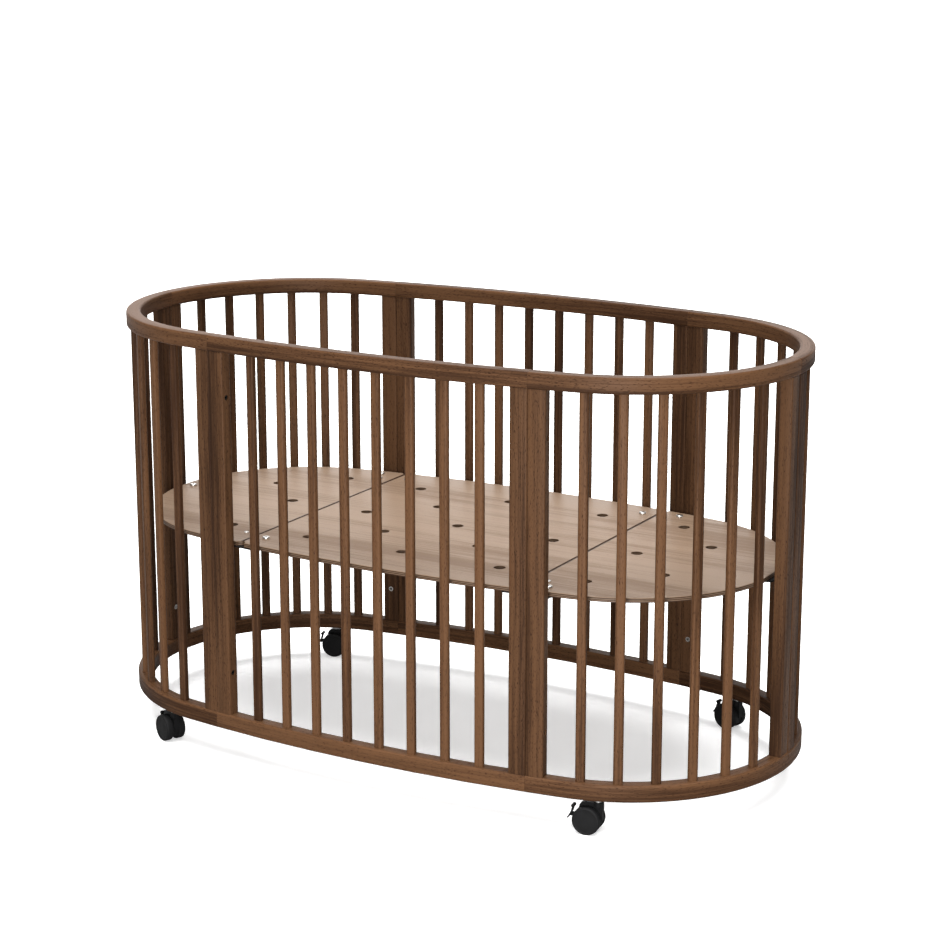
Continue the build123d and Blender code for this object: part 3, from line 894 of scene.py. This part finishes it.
def hood(caster):
    """A web between the wheels with a raised shoulder, a stem boss and a slot for the lever."""
    half, x, z = HOOD_WIDTH / 2, -caster.trail, caster.wheel_z
    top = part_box(f"caster_{caster.name}_hood")[1].z
    piece = drum(HOOD_RADIUS, (x, -half, z), (x, half, z), 96)
    shoulder = block((x - SHOULDER_BACK, -half, z), (x + SHOULDER_FRONT, half, z + SHOULDER_TOP))
    for end, radius in ((x - SHOULDER_BACK, SHOULDER_BACK_ROUND), (x + SHOULDER_FRONT, SHOULDER_FRONT_ROUND)):
        at_end, at_top = edge_at(0, end), edge_at(2, z + SHOULDER_TOP)
        rounded(shoulder, lambda edge: at_end(edge) and at_top(edge), radius, 3)
    combine(piece, shoulder, "UNION")
    combine(piece, drum(BOSS_RADIUS, (0, 0, BOSS_LOW), (0, 0, top)), "UNION")
    reach = 2 * HOOD_RADIUS
    below = block((x - reach, -HOOD_WIDTH, -HOOD_LOW), (x + reach, HOOD_WIDTH, HOOD_LOW))
    combine(piece, below, "DIFFERENCE")
    middle = Vector((caster.pivot.x, 0, caster.pivot.z))
    combine(piece, block(middle - SLOT, middle + SLOT), "DIFFERENCE")
    soften(piece, sizes().hood_round, 3, 32)
    tidy_mesh(piece)
    return piece


def circle_centre(a, b, c):
    """Centre of the circle through three points in a plane."""
    d = 2 * (a[0] * (b[1] - c[1]) + b[0] * (c[1] - a[1]) + c[0] * (a[1] - b[1]))
    squares = [p[0] ** 2 + p[1] ** 2 for p in (a, b, c)]
    x = (squares[0] * (b[1] - c[1]) + squares[1] * (c[1] - a[1]) + squares[2] * (a[1] - b[1])) / d
    y = (squares[0] * (c[0] - b[0]) + squares[1] * (a[0] - c[0]) + squares[2] * (b[0] - a[0])) / d
    return x, y


def lever(caster):
    """A thin foot plate on an arc, with a rolled top edge and an arm to its pivot."""
    foot, middle, top = FOOT_ARC
    centre = circle_centre(foot, middle, top)
    start = atan2(foot[1] - centre[1], foot[0] - centre[0])
    end = atan2(top[1] - centre[1], top[0] - centre[0])
    piece = rounded_section(FOOT_THICKNESS, FOOT_WIDTH, FOOT_ROUND, 3)
    spot = Matrix.Translation((foot[0], 0, foot[1]))
    piece.matrix_world = spot @ Matrix.Rotation(-start, 4, "Y")
    apply_place(piece)
    bpy.ops.object.mode_set(mode="EDIT")
    bpy.ops.mesh.select_all(action="SELECT")
    sweep = (end - start + pi) % (2 * pi) - pi
    bpy.ops.mesh.spin(steps=14, angle=sweep, center=(centre[0], 0, centre[1]), axis=(0, 1, 0))
    bpy.ops.object.mode_set(mode="OBJECT")
    tidy_mesh(piece)
    side, x, z = FOOT_WIDTH / 2, caster.pivot.x, caster.pivot.z
    combine(piece, drum(ROLL_RADIUS, (top[0], -side, top[1]), (top[0], side, top[1]), 32), "UNION")
    arm = block((ARM_BACK, -ARM_HALF_WIDTH, z - ARM_HALF_HEIGHT), (x, ARM_HALF_WIDTH, z + ARM_HALF_HEIGHT))
    combine(arm, drum(ARM_EYE_RADIUS, (x, -ARM_HALF_WIDTH, z), (x, ARM_HALF_WIDTH, z), 32), "UNION")
    combine(piece, arm, "UNION")
    combine(piece, drum(PIN_RADIUS, (x, -side, z), (x, side, z), 24), "UNION")
    soften(piece, 0.0003)
    tidy_mesh(piece)
    return piece


class CRIB_OT_casters(bpy.types.Operator):
    """Fit the hood, the brake lever and both wheels of each caster"""
    bl_idname = "crib.casters"
    bl_label = "Casters"

    def execute(self, context):
        first = Caster(CASTERS[0])
        made = {"hood": (hood(first), hood_plastic(), "fork"),
                "brake_lever": (lever(first), hood_plastic(), "brake"),
                "wheel_a": (wheel(first, 1), tread_plastic(), "wheel_a"),
                "wheel_b": (wheel(first, -1), tread_plastic(), "wheel_b")}
        for name in CASTERS:
            caster = Caster(name)
            for part, (piece, material, body) in made.items():
                new = copy_at(piece, caster.place, f"{name}_{part}")
                finish_piece(new, material, f"{name}_{body}", f"caster_{name}_{part}")
        discard(*(item[0] for item in made.values()))
        return {"FINISHED"}


# ---- Studio ----
CAMERA_PLACE = (2.1991, -3.8000, 1.6376)
CAMERA_DOWN = 14.08
CAMERA_TURN = 29.78
LENS_MM = 91.32
SENSOR_MM = 36
KEY = {"place": (1.3, -3.0, 0.60), "aim": (0.3, -0.3, 0.25), "size": 1.2, "power": 120}
SUN = {"place": (0.3, -0.6, 4.0), "spread": 50, "strength": 6.2}
SEEN_WHITE = 1.1
ROOM_LIGHT = 0.42
WALL_LIGHT = 2.6
WALL_EDGE = 0.75
WALL_FULL = 0.97
FLOOR_SIZE = 60
FLOOR_BOUNCE = 0.35
FLOOR_LIFT = 0.41


def softbox(name, place, aim, size, power):
    """A round area light close to the crib, so that its far side falls off."""
    deselect()
    bpy.ops.object.light_add(type="AREA", location=place)
    light = bpy.context.object
    light.name = name
    light.visible_camera = False
    light.data.shape = "DISK"
    light.data.size = size
    light.data.energy = power
    light.rotation_euler = (Vector(aim) - Vector(place)).to_track_quat("-Z", "Y").to_euler()


def soft_sun(name, place, spread, strength):
    """A sun shining from a place towards the crib, with soft shadows."""
    deselect()
    bpy.ops.object.light_add(type="SUN", location=place)
    light = bpy.context.object
    light.name = name
    light.data.angle = radians(spread)
    light.data.energy = strength
    light.rotation_euler = (-Vector(place)).to_track_quat("-Z", "Y").to_euler()


def studio_world():
    """White to the eye. What lights the crib is a dimmer room with a bright wall behind it."""
    world = bpy.data.worlds.new("Studio")
    world.use_nodes = True
    n = Nodes(world.node_tree)
    toward = n.add("ShaderNodeVectorMath", operation="DOT_PRODUCT")
    n.feed(toward.inputs[0], n.add("ShaderNodeTexCoord").outputs["Generated"])
    toward.inputs[1].default_value = (-sin(radians(CAMERA_TURN)), cos(radians(CAMERA_TURN)), 0.0)
    lit = n.span(toward.outputs["Value"], WALL_EDGE, WALL_FULL, ROOM_LIGHT, WALL_LIGHT)
    seen = n.add("ShaderNodeLightPath").outputs["Is Camera Ray"]
    back = world.node_tree.nodes["Background"]
    back.inputs["Color"].default_value = (1.0, 1.0, 1.0, 1.0)
    n.feed(back.inputs["Strength"], n.span(seen, 0.0, 1.0, lit, SEEN_WHITE))
    return world


def studio_floor():
    """A matt floor, white to the eye and greyer in what it throws back up at the crib."""
    deselect()
    bpy.ops.mesh.primitive_plane_add(size=FLOOR_SIZE)
    floor = bpy.context.object
    floor.name = "studio_floor"
    material, n, shader = new_material("Studio Floor")
    vector = n.add("ShaderNodeTexCoord").outputs["Object"]
    cloud = n.math("MULTIPLY", n.noise(vector, 0.8, 2.0), 0.04)
    paint_colour = n.mix(cloud, solid(colours().floor), (0.8, 0.8, 0.8, 1.0))
    seen = n.add("ShaderNodeLightPath").outputs["Is Camera Ray"]
    n.feed(shader.inputs["Base Color"], n.mix(seen, (*[FLOOR_BOUNCE] * 3, 1.0), paint_colour))
    shader.inputs["Emission Color"].default_value = (1.0, 1.0, 1.0, 1.0)
    n.feed(shader.inputs["Emission Strength"], n.math("MULTIPLY", seen, FLOOR_LIFT))
    shader.inputs["Roughness"].default_value = 0.9
    shader.inputs["Specular IOR Level"].default_value = 0.0
    floor.data.materials.append(material)


class CRIB_OT_stage(bpy.types.Operator):
    """Lay the floor, hang the lights and set the camera"""
    bl_idname = "crib.stage"
    bl_label = "Stage"

    def execute(self, context):
        studio_floor()
        context.scene.world = studio_world()
        context.scene.view_settings.view_transform = "Standard"
        softbox("Key", **KEY)
        soft_sun("Top", **SUN)
        deselect()
        bpy.ops.object.camera_add(location=CAMERA_PLACE,
                                  rotation=(radians(90 - CAMERA_DOWN), 0, radians(CAMERA_TURN)))
        camera = bpy.context.object
        camera.name = "Camera"
        camera.data.lens = LENS_MM
        camera.data.sensor_width = SENSOR_MM
        context.scene.camera = camera
        return {"FINISHED"}


class CRIB_PT_panel(bpy.types.Panel):
    """The crib's pieces, one button each"""
    bl_idname = "CRIB_PT_panel"
    bl_label = "Oval Slatted Crib"
    bl_space_type = "VIEW_3D"
    bl_region_type = "UI"
    bl_category = "Crib"

    def draw(self, context):
        for operator in OPERATORS:
            self.layout.operator(operator.bl_idname)
        for group in (context.scene.crib_sizes, context.scene.crib_colours):
            for name in group.__annotations__:
                self.layout.prop(group, name)


OPERATORS = [CRIB_OT_rails, CRIB_OT_slats, CRIB_OT_posts, CRIB_OT_base, CRIB_OT_fixings, CRIB_OT_casters,
             CRIB_OT_stage]
CLASSES = [CribSizes, CribColours, *OPERATORS, CRIB_PT_panel]


def register():
    for item in CLASSES:
        bpy.utils.register_class(item)
    bpy.types.Scene.crib_sizes = PointerProperty(type=CribSizes)
    bpy.types.Scene.crib_colours = PointerProperty(type=CribColours)


def unregister():
    del bpy.types.Scene.crib_colours
    del bpy.types.Scene.crib_sizes
    for item in reversed(CLASSES):
        bpy.utils.unregister_class(item)


def main():
    register()
    bpy.ops.crib.rails()
    bpy.ops.crib.slats()
    bpy.ops.crib.posts()
    bpy.ops.crib.base()
    bpy.ops.crib.fixings()
    bpy.ops.crib.casters()
    bpy.ops.crib.stage()


if __name__ == "__main__":
    main()
